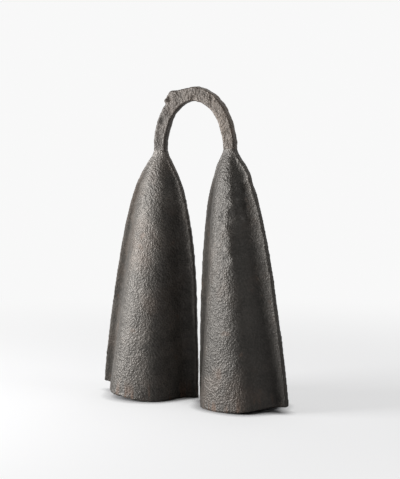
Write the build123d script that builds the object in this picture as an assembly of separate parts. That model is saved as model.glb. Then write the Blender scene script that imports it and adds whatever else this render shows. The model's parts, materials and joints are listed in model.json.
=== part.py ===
from build123d import *
from dataclasses import dataclass
import math
import os

# A pair of clapperless iron bells on one arched handle, standing on their mouths.
# Each bell is two hammered half shells, welded face to face along their side flanges.
# The handle is two straps that lap at the crown, each with a tenon foot held between the
# two shells of its bell. Millimetres and degrees, +Z up, the front shells face -Y.

# Bells: length from the neck's top face to the rim, and the depth of each shell at the rim
LEFT_LENGTH = 305.0
RIGHT_LENGTH = 311.5
LEFT_FRONT_DEPTH = 55.0
RIGHT_FRONT_DEPTH = 45.5
BACK_DEPTH = 45.0
MOUTH_HALF_WIDTH = 65.0
SHEET = 2.4

# How fast a bell grows deeper below its neck, where below 1 most of it comes high up, and how far
# down its length the flat web under the neck has turned into the bulge
LEFT_SWELL = 0.74
RIGHT_SWELL = 0.6
WEB_SHARE = 0.055

# Flanges: the width of each below the shoulder, half way down and at the rim, then what all share:
# the width at the neck, the share of it that stays flat, and how thick the joined pair is at the neck
LEFT_OUTER_FLANGE_AT_SHOULDER = 1.5
LEFT_OUTER_FLANGE_HALF_WAY = 12.5
LEFT_OUTER_FLANGE_AT_RIM = 16.0
LEFT_INNER_FLANGE_AT_SHOULDER = 4.0
LEFT_INNER_FLANGE_HALF_WAY = 15.5
LEFT_INNER_FLANGE_AT_RIM = 17.0
RIGHT_OUTER_FLANGE_AT_SHOULDER = 7.0
RIGHT_OUTER_FLANGE_HALF_WAY = 18.0
RIGHT_OUTER_FLANGE_AT_RIM = 16.0
RIGHT_INNER_FLANGE_AT_SHOULDER = 2.5
RIGHT_INNER_FLANGE_HALF_WAY = 12.5
RIGHT_INNER_FLANGE_AT_RIM = 12.0
FLANGE_WIDTH_AT_NECK = 0.8
FLANGE_FLAT_SHARE = 0.2
NECK_EDGE_THICKNESS = 6.4

# Curve of a shell across the bell: how far the round of the bulge reaches out, in half widths of the
# bulge, how far the hollow beside it reaches in, in flange widths, and the share of the curve that
# the inside of the shell follows
BULGE_REACH_AT_NECK = 0.8
BULGE_REACH_AT_RIM = 1.2
HOLLOW_REACH = 1.9
INSIDE_SHARE = 0.62

# Rims: how far they dip at the front and the back, and how much higher their outer side is cut
LEFT_RIM_BOW = 0.8
RIGHT_RIM_BOW = 3.6
LEFT_RIM_TILT = 2.0
RIGHT_RIM_TILT = 0.3

# How the two bells hang: outward, outer flanges to the front, and back at the foot
SPLAY = 3.9
TOE_OUT = 6.4
LEFT_LEAN_BACK = 1.4
RIGHT_LEAN_BACK = -0.4

# Depth of the flat that standing has worn on the lowest part of each rim
FLOOR_WEAR = 1.0

# Handle straps: leg spacing, the arch above the higher neck and the bar itself
LEG_SPACING = 98.0
ARCH_RISE = 67.2
ARCH_SPRING_DROP = 3.3
STRAP_WIDTH_AT_CROWN = 15.8
STRAP_WIDTH_AT_NECK = 14.4
STRAP_THICKNESS = 8.0

# Lap at the crown: the right strap lies on the left one and ends on its outer edge
LAP_START_ANGLE = 47.0
LAP_TIP_THICKNESS = 5.0
LAP_TIP_LENGTH = 14.0
LAP_INNER_END = 3.2
LAP_INNER_THICKNESS = 3.0

# Tenon foot of each strap, how far it roots in the bar, and the room round it in the neck
TENON_WIDTH = 8.0
TENON_THICKNESS = 3.0
TENON_LENGTH = 16.0
TENON_ROOT = 3.0
TENON_FIT = 0.1

# Outline of a bell down its length: how it flares, how long its shoulder is in shares of the length,
# the steps it is lofted in, and how far down its neck stays solid
FLARE_POWER = 1.3
SHOULDER_SHARE = 0.095
STATIONS = 20
NECK_SOLID_LENGTH = 19.0

# Reach of a cut past a whole bell
CUT_REACH = 520.0

NECK_HALF_WIDTH = STRAP_WIDTH_AT_NECK / 2
NECK_HALF_DEPTH = STRAP_THICKNESS / 2
NECK_EDGE = NECK_EDGE_THICKNESS / 2


@dataclass
class Flange:
    at_shoulder: float
    half_way: float
    at_rim: float


@dataclass
class Bell:
    side: int
    length: float
    front_depth: float
    swell: float
    lean_back: float
    rim_bow: float
    rim_tilt: float
    outer: Flange
    inner: Flange


LEFT = Bell(
    side=-1,
    length=LEFT_LENGTH,
    front_depth=LEFT_FRONT_DEPTH,
    swell=LEFT_SWELL,
    lean_back=LEFT_LEAN_BACK,
    rim_bow=LEFT_RIM_BOW,
    rim_tilt=LEFT_RIM_TILT,
    outer=Flange(LEFT_OUTER_FLANGE_AT_SHOULDER, LEFT_OUTER_FLANGE_HALF_WAY, LEFT_OUTER_FLANGE_AT_RIM),
    inner=Flange(LEFT_INNER_FLANGE_AT_SHOULDER, LEFT_INNER_FLANGE_HALF_WAY, LEFT_INNER_FLANGE_AT_RIM),
)
RIGHT = Bell(
    side=1,
    length=RIGHT_LENGTH,
    front_depth=RIGHT_FRONT_DEPTH,
    swell=RIGHT_SWELL,
    lean_back=RIGHT_LEAN_BACK,
    rim_bow=RIGHT_RIM_BOW,
    rim_tilt=RIGHT_RIM_TILT,
    outer=Flange(RIGHT_OUTER_FLANGE_AT_SHOULDER, RIGHT_OUTER_FLANGE_HALF_WAY, RIGHT_OUTER_FLANGE_AT_RIM),
    inner=Flange(RIGHT_INNER_FLANGE_AT_SHOULDER, RIGHT_INNER_FLANGE_HALF_WAY, RIGHT_INNER_FLANGE_AT_RIM),
)


def shoulder(share):
    """How far the shoulder has grown: 0 at the neck, nearly 1 a little way below it."""
    return math.tanh(share / SHOULDER_SHARE)


def flange_tip(share):
    """Half width of a bell at its flange tips: a quick shoulder, then an easy flare."""
    flare = math.sqrt(1 - (1 - share) ** FLARE_POWER)
    return NECK_HALF_WIDTH + (MOUTH_HALF_WIDTH - NECK_HALF_WIDTH) * flare * shoulder(share)


def flange_width(flange, share):
    """Flange width outside the bulge: a parabola through its three widths, drawn in to the neck."""
    at_shoulder = flange.at_shoulder * (1 - share) * (1 - 2 * share)
    half_way = flange.half_way * 4 * share * (1 - share)
    at_rim = flange.at_rim * share * (2 * share - 1)
    full = at_shoulder + half_way + at_rim
    return FLANGE_WIDTH_AT_NECK + (full - FLANGE_WIDTH_AT_NECK) * shoulder(share)


def flange_on(bell, hand):
    """The flange on one side of a bell."""
    return bell.outer if hand == bell.side else bell.inner


def edge_half_thickness(share):
    """Half the thickness of the joined flanges: the neck's, thinning to one sheet."""
    return NECK_EDGE + (SHEET - NECK_EDGE) * shoulder(share)


def loft_run(bell):
    """How far a bell's walls run down before the rim is cut, past all of its dip and tilt."""
    return bell.length + 2 * bell.rim_bow + MOUTH_HALF_WIDTH * math.tan(math.radians(bell.rim_tilt))


def depth(bell, share, rim_depth):
    """Depth of one shell from the flange plane."""
    below_web = share**2 / (share**2 + WEB_SHARE**2)
    return NECK_HALF_DEPTH + (rim_depth - NECK_HALF_DEPTH) * below_web * share**bell.swell


def shell_curve(bell, share, rim_depth, hand, facing):
    """Four points that steer half of one shell's outer curve: from its crown, over the round of the
    bulge, through the hollow beside it and out to the flat of the flange."""
    tip = flange_tip(share)
    width = flange_width(flange_on(bell, hand), share)
    crown = depth(bell, share, rim_depth)
    edge = edge_half_thickness(share)
    bulge = BULGE_REACH_AT_NECK + (BULGE_REACH_AT_RIM - BULGE_REACH_AT_NECK) * share
    reaches = (0, bulge * (tip - width), tip - HOLLOW_REACH * width, tip - FLANGE_FLAT_SHARE * width)
    heights = (crown, crown, edge, edge)
    return [Vector(hand * reach, facing * height) for reach, height in zip(reaches, heights)]


def first_part(points, share):
    """Four points that steer the first part of a curve."""
    kept = [points[0]]
    while len(points) > 1:
        points = [near + (far - near) * share for near, far in zip(points, points[1:])]
        kept.append(points[0])
    return kept


def outer_section(bell, share):
    """Outline of a whole bell across its axis: two bulges joined by two flanges."""
    tip = flange_tip(share)
    edge = edge_half_thickness(share)
    lines = []
    for hand in (1, -1):
        for facing, rim_depth in ((-1, bell.front_depth), (1, BACK_DEPTH)):
            curve = shell_curve(bell, share, rim_depth, hand, facing)
            lines.append(Bezier(*curve))
            lines.append(Line(curve[-1], (hand * tip, facing * edge)))
        lines.append(Line((hand * tip, -edge), (hand * tip, edge)))
    return Pos(0, 0, -share * loft_run(bell)) * make_face(lines)


def inner_section(bell, share):
    """Outline of a bell's hollow across its axis: one sheet's thickness inside the bulges."""
    lines = []
    for hand in (1, -1):
        ends = []
        for facing, rim_depth in ((-1, bell.front_depth), (1, BACK_DEPTH)):
            outside = first_part(shell_curve(bell, share, rim_depth, hand, facing), INSIDE_SHARE)
            run = (outside[3] - outside[2]).normalized()
            inward = Vector(-run.Y, run.X) * (-hand * facing)
            at_crown = Vector(0, -facing * SHEET)
            shifts = (at_crown, at_crown, inward * SHEET, inward * SHEET)
            inside = [point + shift for point, shift in zip(outside, shifts)]
            lines.append(Bezier(*inside))
            ends.append(inside[-1])
        lines.append(Line(*ends))
    return Pos(0, 0, -share * loft_run(bell)) * make_face(lines)


def tenon(room):
    """Tenon foot below the neck's top face, with room added on every side."""
    blade = Box(TENON_WIDTH + 2 * room, TENON_THICKNESS + 2 * room, TENON_LENGTH + TENON_ROOT)
    return Pos(0, 0, (TENON_ROOT - TENON_LENGTH) / 2) * blade


def rim_cutter(bell):
    """Everything below the rim, which dips at the front and the back and rises outward."""
    radius = bell.front_depth**2 / (2 * bell.rim_bow)
    roller = Pos(0, 0, -radius) * Rot(0, 90, 0) * Cylinder(radius, CUT_REACH)
    return Pos(0, 0, -bell.length) * Rot(0, -bell.side * bell.rim_tilt, 0) * roller


def hollow_bell(bell):
    """A whole bell in its own frame: neck at the origin, axis along Z."""
    shares = [(station / STATIONS) ** 2 for station in range(STATIONS + 1)]
    hollow_shares = [share for share in shares if share * loft_run(bell) > NECK_SOLID_LENGTH]
    outside = loft([outer_section(bell, share) for share in shares])
    hollow = loft([inner_section(bell, share) for share in hollow_shares])
    return outside - hollow - tenon(TENON_FIT) - rim_cutter(bell)


def hang(bell):
    """Turn of a bell's own frame as it hangs from the handle."""
    return Rot(0, -bell.side * SPLAY, 0) * Rot(bell.lean_back, 0, 0) * Rot(0, 0, -bell.side * TOE_OUT)


def neck_place(bell, body):
    """Place of a bell's frame: under its leg, as high as its length lifts it off the floor."""
    lowest = min(corner.Z for corner in (hang(bell) * body).vertices())
    return Pos(bell.side * LEG_SPACING / 2, 0, -lowest - FLOOR_WEAR) * hang(bell)


def stand_on_floor(body):
    """Cuts off what standing has worn away below the floor."""
    return body - Pos(0, 0, -CUT_REACH / 2) * Box(CUT_REACH, CUT_REACH, CUT_REACH)


def ellipse_point(half_span, rise, height, turn):
    """Point on an arch's ellipse, turned from the left springing towards the crown."""
    angle = math.radians(turn)
    return Vector(-half_span * math.cos(angle), height + rise * math.sin(angle))


def strap_outlines(spring, foot):
    """Left and right strap outlines in the XZ plane, meeting in a scarf at the crown."""
    outer_span = (LEG_SPACING + STRAP_WIDTH_AT_NECK) / 2
    inner_span = (LEG_SPACING - STRAP_WIDTH_AT_NECK) / 2
    outer_rise = ARCH_RISE + STRAP_WIDTH_AT_CROWN / 2
    inner_rise = ARCH_RISE - STRAP_WIDTH_AT_CROWN / 2
    notch = ellipse_point(outer_span, outer_rise, spring, LAP_START_ANGLE)
    turn = math.radians(LAP_START_ANGLE)
    outward = Vector(-outer_rise * math.cos(turn), outer_span * math.sin(turn)).normalized()
    along = Vector(outward.Y, -outward.X)
    tip_low = notch + outward * LAP_TIP_THICKNESS
    tip_high = tip_low + along * LAP_TIP_LENGTH
    inner_turn = math.degrees(math.acos(LAP_INNER_END / inner_span))
    inner_low = ellipse_point(inner_span, inner_rise, spring, inner_turn)
    inner_high = inner_low + Vector(0, LAP_INNER_THICKNESS)
    crown = Vector(0, spring + outer_rise)
    middle = (0, spring)

    left = [
        Line((-outer_span, foot), (-outer_span, spring)),
        EllipticalCenterArc(middle, outer_span, outer_rise, 180, arc_size=-LAP_START_ANGLE),
        Line(notch, inner_high),
        Line(inner_high, inner_low),
        EllipticalCenterArc(middle, inner_span, inner_rise, 180, arc_size=-inner_turn),
        Line((-inner_span, spring), (-inner_span, foot)),
        Line((-inner_span, foot), (-outer_span, foot)),
    ]
    right = [
        Line((outer_span, foot), (outer_span, spring)),
        EllipticalCenterArc(middle, outer_span, outer_rise, 0, arc_size=90),
        Line(crown, tip_high),
        Line(tip_high, tip_low),
        Line(tip_low, notch),
        Line(notch, inner_high),
        Line(inner_high, inner_low),
        EllipticalCenterArc(middle, inner_span, inner_rise, 0, arc_size=180 - inner_turn),
        Line((inner_span, spring), (inner_span, foot)),
        Line((inner_span, foot), (outer_span, foot)),
    ]
    return make_face(left), make_face(right)


def strap(outline, neck):
    """A strap cut off square on its neck's top face, with its tenon foot below."""
    bar = extrude(Plane.XZ * outline, STRAP_THICKNESS / 2, both=True)
    bar = split(bar, Plane(neck), keep=Keep.TOP)
    return bar + neck * tenon(0)


bells = {"left": LEFT, "right": RIGHT}
bodies = {name: hollow_bell(bell) for name, bell in bells.items()}
necks = {name: neck_place(bell, bodies[name]) for name, bell in bells.items()}

nodes = {}
for name, body in bodies.items():
    for facing, keep in (("front", Keep.BOTTOM), ("back", Keep.TOP)):
        half = split(body, Plane.XZ.rotated((180, 0, 0)), keep=keep)
        nodes[f"{name}_bell_{facing}_shell"] = stand_on_floor(necks[name] * half)

heights = {name: neck.position.Z for name, neck in necks.items()}
spring = max(heights.values()) - ARCH_SPRING_DROP
foot = min(heights.values()) - STRAP_WIDTH_AT_NECK
for name, outline in zip(bells, strap_outlines(spring, foot)):
    nodes[f"{name}_handle_strap"] = strap(outline, necks[name])

# The origin is on the floor, under the middle of the whole pair
box = Compound(list(nodes.values())).bounding_box()
centre = Pos(-(box.min.X + box.max.X) / 2, -(box.min.Y + box.max.Y) / 2, -box.min.Z)

os.makedirs("parts", exist_ok=True)
for name, node in nodes.items():
    solid = centre * node
    export_step(solid, f"parts/{name}.step")
    size = solid.bounding_box().size
    print(f"{name}: {size.X:.1f} x {size.Y:.1f} x {size.Z:.1f} mm, {solid.volume:.0f} mm3")
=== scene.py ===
# %% [markdown]
# A forged iron double bell, step by step.
# Two clapperless bells share one arched handle and stand on their mouths. The measured solids are
# loaded first. Every piece below starts as a copy of one of them and gets the skin that hammering,
# fire and long use give to iron. Lengths are in metres, and MM turns millimetres into metres.

# %% Load the solids
import json
import math

import bpy
import numpy as np
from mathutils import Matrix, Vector

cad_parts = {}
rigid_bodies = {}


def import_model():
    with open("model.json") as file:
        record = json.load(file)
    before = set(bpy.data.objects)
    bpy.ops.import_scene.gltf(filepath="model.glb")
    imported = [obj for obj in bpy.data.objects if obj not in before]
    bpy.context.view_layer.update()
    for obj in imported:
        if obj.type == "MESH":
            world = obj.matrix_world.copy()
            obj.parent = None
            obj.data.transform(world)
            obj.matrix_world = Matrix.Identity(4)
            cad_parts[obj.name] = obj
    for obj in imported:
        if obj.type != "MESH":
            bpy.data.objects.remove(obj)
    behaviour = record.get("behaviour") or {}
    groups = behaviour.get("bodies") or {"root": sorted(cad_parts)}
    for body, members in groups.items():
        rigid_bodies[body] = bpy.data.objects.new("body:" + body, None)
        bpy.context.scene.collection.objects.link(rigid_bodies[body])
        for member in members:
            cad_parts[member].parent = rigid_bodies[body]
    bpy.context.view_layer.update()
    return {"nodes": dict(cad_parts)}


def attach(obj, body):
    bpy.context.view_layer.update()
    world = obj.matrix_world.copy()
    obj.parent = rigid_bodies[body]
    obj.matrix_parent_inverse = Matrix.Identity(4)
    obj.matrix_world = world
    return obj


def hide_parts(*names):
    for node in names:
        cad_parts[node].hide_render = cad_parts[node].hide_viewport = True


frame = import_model()
MM = 0.001
print("solids:", sorted(frame["nodes"]))

# %% [markdown]
# The camera stands a little above the bells, well back, with a long lens, so that upright edges stay
# nearly upright. It could be placed by eye. Here its turn, distance and height are written down as
# numbers, which keeps the view the same however the rest of the scene changes.

# %% Camera
PHOTO_HEIGHT = 479
FOCAL_LENGTH_IN_PIXELS = 1690
CAMERA_TURN = math.radians(31)
CAMERA_DISTANCE = 2.06
CAMERA_HEIGHT = 0.434
AIM = Vector((0, 0, 0.2))
AIM_LEFT_OF_MIDDLE_IN_PIXELS = 3.6


def around(turn, distance, height):
    """A point on a circle round the bells: turn 0 is straight in front, and turns go towards +X."""
    return Vector((math.sin(turn) * distance, -math.cos(turn) * distance, height))


def face(thing, target):
    """Turns a camera or a lamp so that it looks at a point."""
    thing.rotation_euler = (target - thing.location).to_track_quat("-Z", "Y").to_euler()


bpy.ops.object.camera_add(location=around(CAMERA_TURN, CAMERA_DISTANCE, CAMERA_HEIGHT))
camera = bpy.context.object
face(camera, AIM)
camera.data.lens = camera.data.sensor_width * FOCAL_LENGTH_IN_PIXELS / PHOTO_HEIGHT
camera.data.shift_x = AIM_LEFT_OF_MIDDLE_IN_PIXELS / PHOTO_HEIGHT
bpy.context.scene.camera = camera
print(f"lens {camera.data.lens:.1f} mm")

# %% [markdown]
# The solids themselves are never changed, so each piece of iron is a copy. It could share its mesh
# with the solid, but then the hammering would reach the solid too. Operators work on whatever is
# selected, so a helper picks one piece and nothing else. A loaded solid is a heap of loose triangles.
# In the copy, corners that lie on each other are merged, so that it is one skin.

# %% Copies of the solids
SAME_CORNER = 0.001 * MM


def pick(piece):
    """Selects one piece and nothing else."""
    bpy.ops.object.select_all(action="DESELECT")
    piece.select_set(True)
    bpy.context.view_layer.objects.active = piece


def copy_solid(node, name):
    """A copy of one measured solid, with the corners of its loose triangles merged."""
    pick(frame["nodes"][node])
    bpy.ops.object.duplicate()
    piece = bpy.context.object
    bpy.ops.object.parent_clear(type="CLEAR_KEEP_TRANSFORM")
    piece.name = name
    for mark in [key for key in piece.keys() if key.startswith("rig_")]:
        del piece[mark]
    bpy.ops.object.mode_set(mode="EDIT")
    bpy.ops.mesh.select_all(action="SELECT")
    bpy.ops.mesh.remove_doubles(threshold=SAME_CORNER)
    bpy.ops.object.mode_set(mode="OBJECT")
    piece.data.materials.clear()
    return piece


# %% [markdown]
# Hammered iron is uneven at several sizes at once. The whole sheet wanders off its true line, the
# hammer leaves shallow dents, and the fire leaves a pebbly crust of scale. Each could be sculpted by
# hand. Here every size is one texture that pushes the surface. The coarsest pushes all points of a
# place the same way, so that both skins of a sheet and both halves of a seam move together. The
# textures follow a helper that is turned askew, so that their grain doesn't line up with the walls.

# %% Textures that push the surface
ASKEW_TURN = (0.6, 0.45, 0.3)

bpy.ops.object.empty_add(rotation=ASKEW_TURN)
askew = bpy.context.object


def clouds(name, size, kind="GRAYSCALE"):
    """A cloud texture whose lumps are about this size."""
    texture = bpy.data.textures.new(name, "CLOUDS")
    texture.noise_scale = size
    texture.noise_basis = "IMPROVED_PERLIN"
    texture.noise_depth = 1
    texture.cloud_type = kind
    return texture


WANDER = clouds("hand work", 60 * MM, kind="COLOR")
DENTS = clouds("hammer dents", 16 * MM)
LUMPS = clouds("uneven scale", 7 * MM)
PEBBLES = bpy.data.textures.new("pebbles of scale", "VORONOI")
PEBBLES.noise_scale = 3 * MM
for texture in (WANDER, DENTS, LUMPS, PEBBLES):
    print(texture.name, f"{texture.noise_scale / MM:.0f} mm")

# %% [markdown]
# Forging is the same for every piece. Its copy is remeshed into an even net, fine enough to carry the
# pebbles, and smoothed so that its edges are worn round. Then the textures push it, from the coarsest
# to the finest, and last it swells by the thickness of its crust, which makes up for what the
# smoothing took off. The modifiers could stay live. Here each is applied at once, so that the next
# one works on its result, as one heat of the forge follows another.

# %% Hammered skin
EDGE_SOFTENING = 0.5
WANDER_DEPTH = 1.2 * MM
CRUST = 0.9 * MM


def modify(piece, kind, **settings):
    """Adds a modifier with these settings and applies it."""
    pick(piece)
    bpy.ops.object.modifier_add(type=kind)
    modifier = piece.modifiers[-1]
    for name, value in settings.items():
        setattr(modifier, name, value)
    bpy.ops.object.modifier_apply(modifier=modifier.name)


def push(piece, texture, strength, direction="NORMAL"):
    """Pushes the surface in and out by a texture."""
    modify(
        piece, "DISPLACE", texture=texture, texture_coords="OBJECT", texture_coords_object=askew,
        strength=strength, direction=direction, mid_level=0.5,
    )


def hammer(piece, mesh_size, wear, dents, lumps, pebbles):
    """Gives a piece an even mesh and the skin of hammered iron."""
    modify(piece, "REMESH", mode="VOXEL", voxel_size=mesh_size, use_smooth_shade=True)
    modify(piece, "SMOOTH", factor=EDGE_SOFTENING, iterations=wear)
    push(piece, WANDER, WANDER_DEPTH, direction="RGB_TO_XYZ")
    push(piece, DENTS, dents)
    push(piece, LUMPS, lumps)
    push(piece, PEBBLES, -pebbles)
    modify(piece, "DISPLACE", strength=CRUST, mid_level=0)
    bpy.ops.object.shade_smooth()


# %% [markdown]
# Standing on hard ground has worn the rims flat. They could be cut off level, but a cut would open the
# mesh. Here the points that the hammering pushed below the floor are picked and pressed up to it. Two
# small helpers read a value of every point and pick some of the points.

# %% Worn rims
def point_values(piece, name):
    """A value of every point of a mesh, such as its place, as rows of three numbers."""
    values = np.empty(len(piece.data.vertices) * 3)
    piece.data.vertices.foreach_get(name, values)
    return values.reshape(-1, 3)


def pick_points(piece, wanted):
    """Selects the points marked as wanted and leaves the piece in edit mode."""
    pick(piece)
    bpy.ops.object.mode_set(mode="EDIT")
    bpy.ops.mesh.select_mode(type="VERT")
    bpy.ops.mesh.select_all(action="DESELECT")
    bpy.ops.object.mode_set(mode="OBJECT")
    piece.data.vertices.foreach_set("select", wanted)
    bpy.ops.object.mode_set(mode="EDIT")


def press_flat(piece):
    """Moves points that are below the floor up to it."""
    pick_points(piece, point_values(piece, "co")[:, 2] < 0)
    bpy.ops.transform.resize(value=(1, 1, 0), center_override=(0, 0, 0))
    bpy.ops.object.mode_set(mode="OBJECT")


# %% [markdown]
# Each bell is two hammered sheets, bulged in the middle and flat down both sides, where they are
# welded together. A bell could be one mesh, but then its seam would have to be drawn on. Each sheet
# stays its own piece, as on the anvil, and the seam is where they meet.

# %% Bell shells
SHELL_MESH = 1.05 * MM

shells = []
for side in ("left", "right"):
    for facing in ("front", "back"):
        node = f"{side}_bell_{facing}_shell"
        shell = copy_solid(node, f"{side}_bell_{facing}")
        hammer(shell, SHELL_MESH, wear=3, dents=1.2 * MM, lumps=0.5 * MM, pebbles=0.2 * MM)
        press_flat(shell)
        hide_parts(node)
        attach(shell, "root")
        shells.append(shell)
        print(shell.name, "triangles:", 2 * len(shell.data.polygons))

# %% [markdown]
# The handle is two hammered bars, welded to each other in a long slanting lap at the crown and to the
# necks at their feet. Good forge welds leave hardly a line. The joints could be merged into one mesh.
# Here each bar stays its own piece, and its welded faces are drawn a little into the other piece, so
# that their worn edges don't leave a groove.

# %% Handle straps
STRAP_MESH = 0.6 * MM
TENON_LENGTH = 16 * MM
FOOT_EDGE = 1.5 * MM
TOUCHING = 0.01 * MM
WELD_DEPTH = 1.6 * MM


def draw_out(piece, wanted, rise):
    """Moves the points marked as wanted up or down, such as the end of a bar."""
    pick_points(piece, wanted)
    bpy.ops.transform.translate(value=(0, 0, rise))
    bpy.ops.object.mode_set(mode="OBJECT")


straps = [copy_solid(f"{side}_handle_strap", f"{side}_strap") for side in ("left", "right")]
corners = [point_values(strap, "co") for strap in straps]
gaps = np.linalg.norm(corners[0][:, None] - corners[1][None], axis=2)
nearest = (gaps.min(axis=1), gaps.min(axis=0))
for strap, places, gap, into in zip(straps, corners, nearest, (WELD_DEPTH, -WELD_DEPTH)):
    over_foot = places[:, 2] - places[:, 2].min() - TENON_LENGTH
    draw_out(strap, gap < TOUCHING, into)
    draw_out(strap, abs(over_foot) < FOOT_EDGE, -WELD_DEPTH)
    hammer(strap, STRAP_MESH, wear=10, dents=2.2 * MM, lumps=1.3 * MM, pebbles=0.35 * MM)
    node = strap.name.replace("strap", "handle_strap")
    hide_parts(node)
    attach(strap, "root")
    print(strap.name, "triangles:", 2 * len(strap.data.polygons))

pick(askew)
bpy.ops.object.delete()

# %% [markdown]
# Some marks are single: a shoulder or an edge that was drawn out wider, a hammer blow that went too
# deep, a nick in a rim, a pit in the handle. They could be sculpted with a brush. Here each is one
# point that is moved with its neighbours round it, in proportion to how near they are, as one stroke
# does on the anvil. The table gives the piece, the spot, the move and how far round the spot it
# reaches, in millimetres.

# %% Single blows
BLOWS = (
    ("right_bell_front", (71, -4, 290), (2.5, 0, 0), 24),
    ("right_bell_back", (71, 0, 290), (2.5, 0, 0), 24),
    ("left_bell_front", (-14, 4, 175), (2.5, 0, 0), 110),
    ("left_bell_back", (-14, 6, 175), (2.5, 0, 0), 110),
    ("right_bell_front", (71, -9, 282), (0, 1, 0), 8),
    ("right_bell_front", (73, -10, 268), (0, 1, 0), 9),
    ("right_bell_front", (62, -17, 268), (0, -1.5, 0), 12),
    ("right_bell_front", (65, -20, 250), (1.2, -1.4, 0), 10),
    ("right_bell_front", (73, -13, 248), (-0.5, 1.2, 0), 9),
    ("right_bell_front", (62, -24, 236), (0, 1.3, 0), 8),
    ("right_bell_front", (72, -19, 229), (1.3, -1.3, 0), 10),
    ("right_bell_front", (58, -27, 219), (0, -1.5, 0), 10),
    ("right_bell_front", (71, -25, 208), (-0.9, 1.1, 0), 9),
    ("right_bell_front", (64, -30, 193), (0.3, -1.4, 0), 11),
    ("right_bell_front", (51, -25, 234), (0, 1.0, 0), 9),
    ("right_bell_front", (70, -31, 180), (0.4, -1.3, 0), 11),
    ("right_bell_front", (41, -4, 290), (-3, 0, 0), 24),
    ("right_bell_back", (41, 0, 290), (-3, 0, 0), 24),
    ("left_bell_front", (-80, -49, 1), (0, 0.5, 1.5), 4),
    ("right_strap", (25.6, -7, 375.4), (0, 0.7, 0), 5),
    ("right_strap", (0.5, -7.5, 373), (0, 1, 1), 5),
    ("right_strap", (-38, -7, 370), (2, 3, 2), 6),
    ("left_strap", (-49.7, -7.5, 326.5), (0, 0.8, 0), 8),
    ("left_strap", (-43, -7, 345), (0, 0.8, 0), 8),
)

for name, spot, move, reach in BLOWS:
    piece = bpy.data.objects[name]
    distance = np.linalg.norm(point_values(piece, "co") - np.array(spot) * MM, axis=1)
    pick_points(piece, distance == distance.min())
    bpy.ops.transform.translate(
        value=[step * MM for step in move], use_proportional_edit=True, proportional_size=reach * MM,
        proportional_edit_falloff="SMOOTH", use_proportional_connected=True,
    )
    bpy.ops.object.mode_set(mode="OBJECT")
print("single blows:", len(BLOWS))

# %% [markdown]
# Handling and rust sort high places from low ones: crests are rubbed bright, and pits stay dark. They
# could be painted, but a mesh can carry such a value at each point. It is the height of the point
# over a smoothed copy of the surface, found by taking the mean of the neighbours a few times.

# %% Crests and pits
CREST_HEIGHT = 0.1 * MM
CREST_ROUNDS = 6


def store(piece, name, values):
    """Keeps one number per point on the mesh, where a material can read it."""
    piece.data.attributes.new(name, "FLOAT", "POINT").data.foreach_set("value", values)


def mark_crests(piece):
    """Stores how far each point stands over the smoothed surface: 1 on crests, -1 in pits."""
    mesh = piece.data
    ends = np.empty(len(mesh.edges) * 2, dtype=np.int64)
    mesh.edges.foreach_get("vertices", ends)
    first, second = ends.reshape(-1, 2).T
    places = point_values(piece, "co")
    count = np.bincount(ends, minlength=len(places))[:, None]
    smoothed = places.copy()
    for _ in range(CREST_ROUNDS):
        total = np.zeros_like(smoothed)
        for axis in range(3):
            total[:, axis] += np.bincount(first, smoothed[second, axis], minlength=len(places))
            total[:, axis] += np.bincount(second, smoothed[first, axis], minlength=len(places))
        smoothed = total / count
    height = ((places - smoothed) * point_values(piece, "normal")).sum(axis=1) / CREST_HEIGHT
    store(piece, "crest", np.clip(height, -1, 1))
    return height.std()


for piece in shells + straps:
    print(piece.name, f"crest spread {mark_crests(piece):.2f}")

# %% [markdown]
# The flanges, where the two sheets lie on each other, are darkened with painted shade and made dull.
# It could be painted on by hand. Here the points near the seam are found level by level: the seam
# runs straight from the left edge of a level to its right edge. The left flanges get the darker
# painted shade, and it ends below the necks.

# %% Painted shade on the flanges
LEVEL_HEIGHT = 4 * MM
FLANGE_DEPTH = 5.5 * MM
BULGE_DEPTH = 9 * MM
# Painted shade: strong on the left flanges, faint on the right ones.
FLANGE_SHADE_LEFT_AND_RIGHT = (0.55, 0.1)
FLANGE_SHADE_END = 295 * MM
FLANGE_SHADE_FADE = 30 * MM


def mark_flanges(shell):
    """Stores how much painted shade the flanges get, and 0 elsewhere."""
    places = point_values(shell, "co")
    towards_seam = places[:, 1] * (1 if "front" in shell.name else -1)
    level = (places[:, 2] / LEVEL_HEIGHT).astype(int)
    depth = np.empty(len(places))
    flange_shade = np.empty(len(places))
    for number in np.unique(level):
        here = level == number
        across, inwards = places[here, 0], towards_seam[here]
        edges = across.min(), across.max()
        seam = [inwards[abs(across - edge) < LEVEL_HEIGHT].max() for edge in edges]
        depth[here] = np.interp(across, edges, seam) - inwards
        flange_shade[here] = np.interp(across, edges, FLANGE_SHADE_LEFT_AND_RIGHT)
    flange_shade *= np.clip((BULGE_DEPTH - depth) / (BULGE_DEPTH - FLANGE_DEPTH), 0, 1)
    flange_shade *= np.clip((FLANGE_SHADE_END - places[:, 2]) / FLANGE_SHADE_FADE, 0, 1)
    store(shell, "flange", flange_shade)
    return flange_shade.mean()


for shell in shells:
    print(shell.name, f"mean soot {mark_flanges(shell):.2f}")


# %% [markdown]
# Materials are networks of small nodes. They could be wired one by one. To keep them readable, a class
# stands for one number that varies over the surface, so that it can be added and multiplied like a
# plain number.

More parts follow.
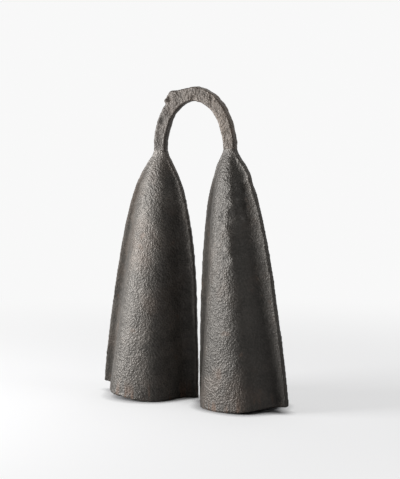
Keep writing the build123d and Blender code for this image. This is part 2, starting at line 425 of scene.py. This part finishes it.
# %% A value that varies
class Field:
    """A value that varies over a surface. Arithmetic on it adds Math nodes."""

    def __init__(self, tree, socket):
        self.tree = tree
        self.socket = socket

    def math(self, operation, *values):
        """Adds a Math node and returns its result."""
        node = self.tree.nodes.new("ShaderNodeMath")
        node.operation = operation
        for place, value in zip(node.inputs, values):
            if isinstance(value, Field):
                self.tree.links.new(value.socket, place)
            else:
                place.default_value = value
        return Field(self.tree, node.outputs[0])

    def __add__(self, other):
        return self.math("ADD", self, other)

    def __radd__(self, other):
        return self.math("ADD", other, self)

    def __sub__(self, other):
        return self.math("SUBTRACT", self, other)

    def __rsub__(self, other):
        return self.math("SUBTRACT", other, self)

    def __mul__(self, other):
        return self.math("MULTIPLY", self, other)

    def __rmul__(self, other):
        return self.math("MULTIPLY", other, self)

    def __truediv__(self, other):
        return self.math("DIVIDE", self, other)

    def __rtruediv__(self, other):
        return self.math("DIVIDE", other, self)

    def __pow__(self, other):
        return self.math("POWER", self, other)

    def __rpow__(self, other):
        return self.math("POWER", other, self)

    def clamped(self):
        """The value, kept between 0 and 1."""
        return self.math("MINIMUM", self.math("MAXIMUM", self, 0.0), 1.0)

    def between(self, low, high):
        """0 at low, 1 at high, and an eased step between."""
        share = ((self - low) / (high - low)).clamped()
        return share * share * (3.0 - 2.0 * share)


# %% [markdown]
# Every other node comes from one method, which takes its kind, its settings and what goes into its
# sockets. Each finish could have its own wiring, but one class serves the iron, the floor and the
# world alike. A socket that shares its name with others is given by its number after a low line.

# %% A finish under construction
class Finish:
    """The nodes of a material or of the world."""

    def __init__(self, owner):
        self.owner = owner
        owner.use_nodes = True
        self.tree = owner.node_tree
        self.tree.nodes.clear()

    def node(self, kind, settings=None, output=0, **inputs):
        """Adds a node, sets it up, fills its sockets and returns one of its outputs, if it has any."""
        node = self.tree.nodes.new("ShaderNode" + kind)
        for name, value in (settings or {}).items():
            setattr(node, name, value)
        for name, value in inputs.items():
            place = node.inputs[int(name[1:]) if name[0] == "_" else name.replace("_", " ")]
            if isinstance(value, Field):
                self.tree.links.new(value.socket, place)
            else:
                place.default_value = value
        return Field(self.tree, node.outputs[output]) if node.outputs else None

    def noise(self, place, per_metre, detail=2.0, rough=0.5):
        """Clouds, with about this many to the metre."""
        return self.node("TexNoise", Vector=place, Scale=per_metre, Detail=detail, Roughness=rough)

    def mix(self, share, first, second):
        """A colour between two others."""
        colours = [value if isinstance(value, Field) else (*value, 1) for value in (first, second)]
        return self.node(
            "Mix", {"data_type": "RGBA"}, output=2, _0=share, _6=colours[0], _7=colours[1]
        )

    def rays(self):
        """1 for what the camera sees, for what shiny things show, and for what is seen through."""
        kinds = ("Is Camera Ray", "Is Glossy Ray", "Is Transmission Ray")
        return [self.node("LightPath", output=kind) for kind in kinds]

    def show(self, shader, output="OutputMaterial"):
        """Makes this shader the one that is seen."""
        self.node(output, Surface=shader)
        return self.owner


# %% [markdown]
# Rust starts where the bells stand in the damp: it rises from the rims in streaks, and the rest of the
# iron has a few faint spots of it. It could be painted. Here clouds that are drawn out upwards make
# the streaks, and small round clouds make the spots, so that no two places are alike. The bare
# numbers here and in the next cells are shares, and limits of the clouds.

# %% Rust
RUST = (0.115, 0.072, 0.05)
STREAKS_PER_METRE = 120.0
STREAK_SQUASH = (1, 1, 0.15)
SPOTS_PER_METRE = 60.0
RUSTY_RIM = (4 * MM, 28 * MM)


def rustiness(finish, place, height):
    """How rusty a place is: streaks that rise from the rim, and faint spots all over."""
    drawn_up = finish.node("Mapping", Vector=place, Scale=STREAK_SQUASH)
    streaks = finish.noise(drawn_up, STREAKS_PER_METRE, detail=3.0).between(0.5, 0.62)
    low = 1.0 - height.between(*RUSTY_RIM)
    spots = finish.noise(place, SPOTS_PER_METRE).between(0.68, 0.74)
    return (streaks * low * 0.9 + spots * 0.35).clamped()


# %% [markdown]
# The tone of the iron changes from left to right and from the feet of the handle upwards. On the bells
# this is painted light: their left side, towards the key lamp, is made paler. The handle is made paler
# on its right leg and darker at its feet. Each piece could have its own tone. Here the tone changes
# gently from left to right and from the feet upwards, so that no edge of it shows.

# %% Painted side light and tone
LEFT_TO_RIGHT = (-60 * MM, 60 * MM)
HANDLE_FEET = (295 * MM, 360 * MM)


def side_tone_and_painted_light(across, height, wear, foot):
    """How pale a place is made, as painted light on the bells: wear gives left and right, foot the
    feet's share.
    """
    sides = wear[0] + (wear[1] - wear[0]) * across.between(*LEFT_TO_RIGHT)
    return sides * (foot + (1.0 - foot) * height.between(*HANDLE_FEET))


# %% [markdown]
# Forged iron is dark with scale, browned by thin rust and rubbed paler where it is touched. It could
# be one dark grey with a bump, but that would look too even. The finish mixes a few warm greys by
# clouds of different sizes and by the crests and pits. It also paints shade on the flanges, and on the
# bells it paints light, paler on the left side towards the key lamp. Its gloss is that of a thin hard
# crust, so it is a mostly plain shader with a broad sheen.

# %% Forged iron
BROWN = (0.085, 0.06, 0.045)
WARM_SHEEN = (1.0, 0.97, 0.93, 1)
CRUST_IOR = 1.75
BARE_METAL = 0.3
GRAINS_PER_METRE = 700.0
PEBBLES_PER_METRE = 430.0
BROWN_PATCHES_PER_METRE = 16.0
# The bells are made paler towards their necks.
PALER_TOWARDS_NECKS = (260 * MM, 310 * MM)
PEBBLE_HEIGHT = 0.8 * MM


def forged_iron(name, dark, light, wear, foot, roughness, relief, patch):
    """Dark scaled iron, with pale patches of this size and a satin, pebbly skin."""
    finish = Finish(bpy.data.materials.new(name))
    place = finish.node("TexCoord", output="Object")
    across = finish.node("SeparateXYZ", output="X", Vector=place)
    height = finish.node("SeparateXYZ", output="Z", Vector=place)
    crest = finish.node("Attribute", {"attribute_name": "crest"}, output="Fac")
    # The flange attribute holds the painted shade of the flanges, which also dulls them.
    flange_shade = finish.node("Attribute", {"attribute_name": "flange"}, output="Fac")
    grain = finish.noise(place, GRAINS_PER_METRE, rough=0.6)
    pebbles = finish.node(
        "TexVoronoi", {"feature": "SMOOTH_F1"}, Vector=place, Scale=PEBBLES_PER_METRE, Smoothness=0.3
    )

    worn = (crest * 0.3 + 0.9 - pebbles).clamped()
    patches = finish.noise(place, 1.0 / patch, detail=4.0, rough=0.6).between(0.4, 0.65)
    bright = patches * 0.4 + worn * 0.6 + height.between(*PALER_TOWARDS_NECKS) * 0.2
    # Painted shade darkens the flanges; on the bells the side tone is painted light, paler on the left
    # towards the key lamp.
    bright = bright * (1.0 - 0.9 * flange_shade) * side_tone_and_painted_light(across, height, wear, foot)
    browned = finish.noise(place, BROWN_PATCHES_PER_METRE, detail=5.0, rough=0.65).between(0.48, 0.7)
    rust = rustiness(finish, place, height)
    colour = finish.mix(browned * 0.5, finish.mix(bright, dark, light), BROWN)
    colour = finish.mix(rust, colour, RUST)

    skin = finish.node("Bump", Height=grain * 0.5 - pebbles, Strength=relief, Distance=PEBBLE_HEIGHT)
    gloss = roughness + (grain - 0.5) * 0.2 - crest * 0.06 + rust * 0.12 + flange_shade * 0.4
    shader = finish.node(
        "BsdfPrincipled", Base_Color=colour, Roughness=gloss, Normal=skin,
        Metallic=BARE_METAL + flange_shade * 0.6, Specular_Tint=WARM_SHEEN, IOR=CRUST_IOR,
    )
    return finish.show(shader)


# %% [markdown]
# The handle is browner than the bells, and its right leg is palest. One finish could serve for both,
# but the bells get painted light, paler on their left, and the handle its own tones, so each has its
# own numbers.

# %% Two tones of iron
# On the bells wear paints light: their left, towards the key lamp, comes out paler.
bell_iron = forged_iron(
    "bell iron", dark=(0.028, 0.025, 0.0215), light=(0.1, 0.089, 0.078), wear=(1.25, 0.6), foot=1.0,
    roughness=0.54, relief=0.72, patch=33 * MM,
)
handle_iron = forged_iron(
    "handle iron", dark=(0.022, 0.0175, 0.014), light=(0.12, 0.093, 0.073), wear=(0.2, 1.2), foot=0.4,
    roughness=0.58, relief=0.55, patch=14 * MM,
)
for pieces, iron in ((shells, bell_iron), (straps, handle_iron)):
    for piece in pieces:
        piece.data.materials.append(iron)
    print(iron.name, "nodes:", len(iron.node_tree.nodes))

# %% [markdown]
# The bells stand on white paper in a photographer's studio. A lit sheet alone would come out grey, so
# what the camera sees of it is lifted by a faint glow of its own. There is less of it close to the
# rims and none inside the bells, where the paper lies in their shade. Far off it fades to plain
# white, so that no horizon shows.

# %% Floor
FLOOR_RADIUS = 3.0
PAPER = (0.44, 0.44, 0.445, 1)
WHITE = 0.94
LIFT = 0.51
FADE = (0.2, 0.9)
RIM_SHADE_REACH = 0.015
BELL_REACH = 0.3
INSIDE_TO_OUTSIDE = (0.12, 0.4)

bpy.ops.mesh.primitive_circle_add(vertices=128, radius=FLOOR_RADIUS, fill_type="NGON")
floor = bpy.context.object
floor.name = "floor"

paper = Finish(bpy.data.materials.new("white paper"))
place = paper.node("TexCoord", output="Object")
from_middle = paper.node("VectorMath", {"operation": "LENGTH"}, output="Value", _0=place)
seen, shiny, through = paper.rays()
open_near, open_wide = [
    paper.node("AmbientOcclusion", {"samples": 8}, output="AO", Distance=reach)
    for reach in (RIM_SHADE_REACH, BELL_REACH)
]
lit = seen * open_near**3.0 * open_wide.between(*INSIDE_TO_OUTSIDE)
lift = paper.node("Emission", Color=paper.mix(lit, (0, 0, 0), (1, 1, 1)), Strength=LIFT)
near = paper.node("AddShader", _0=paper.node("BsdfDiffuse", Color=PAPER), _1=lift)
glow = paper.node("Emission", Color=(1, 1, 1, 1), Strength=WHITE)
far = from_middle.between(*FADE) * (seen + shiny + through).clamped()
floor.data.materials.append(paper.show(paper.node("MixShader", _0=far, _1=near, _2=glow)))
print("floor radius:", FLOOR_RADIUS)

# %% [markdown]
# The studio round the bells is dim, and only what the camera looks towards is white. A white room
# would be simpler, but it would light the iron from every side. Shiny places show the white too, but
# only from the far side, where the white wall stands.

# %% World
AMBIENT = 0.1
FAR_SIDE = (-math.sin(CAMERA_TURN), math.cos(CAMERA_TURN), 0)
WALL_EDGE = (-0.1, 0.6)

studio = Finish(bpy.data.worlds.new("studio"))
heading = studio.node("TexCoord", output="Generated")
away = studio.node("VectorMath", {"operation": "DOT_PRODUCT"}, output="Value", _0=heading, _1=FAR_SIDE)
seen, shiny, through = studio.rays()
looking = (seen + (shiny + through) * away.between(*WALL_EDGE)).clamped()
strength = AMBIENT + looking * (WHITE - AMBIENT)
backdrop = studio.node("Background", Color=(1, 1, 1, 1), Strength=strength)
bpy.context.scene.world = studio.show(backdrop, "OutputWorld")
print("world:", bpy.context.scene.world.name)

# %% [markdown]
# One soft lamp on the left does most of the work: it rakes over the pebbled skin and leaves the right
# of each bell dark. A weak one, high on the right, opens the shadows, and a broad one above and behind
# lights the top of the handle. One lamp alone would leave the shadows black. The table gives each
# lamp's turn from the camera in degrees, its distance, height and size in metres, and its power in
# watts.

# %% Lamps
LAMPS = (
    ("key", -82.5, 1.15, 0.36, 0.6, 22.0),
    ("fill", 64, 1.2, 1.1, 0.6, 3.8),
    ("top", 180, 0.5, 2.0, 1.4, 13.0),
)

for name, turn, distance, height, size, power in LAMPS:
    spot = around(CAMERA_TURN + math.radians(turn), distance, height)
    bpy.ops.object.light_add(type="AREA", location=spot)
    lamp = bpy.context.object
    lamp.name = name
    lamp.data.size = size
    lamp.data.energy = power
    face(lamp, AIM)
    print(name, f"{power} W")

# %% [markdown]
# Last, the sizes of the measured solids and of the dressed pieces are written down side by side, and
# the frame is closed.

# %% View transform
bpy.context.scene.view_settings.view_transform = "Standard"
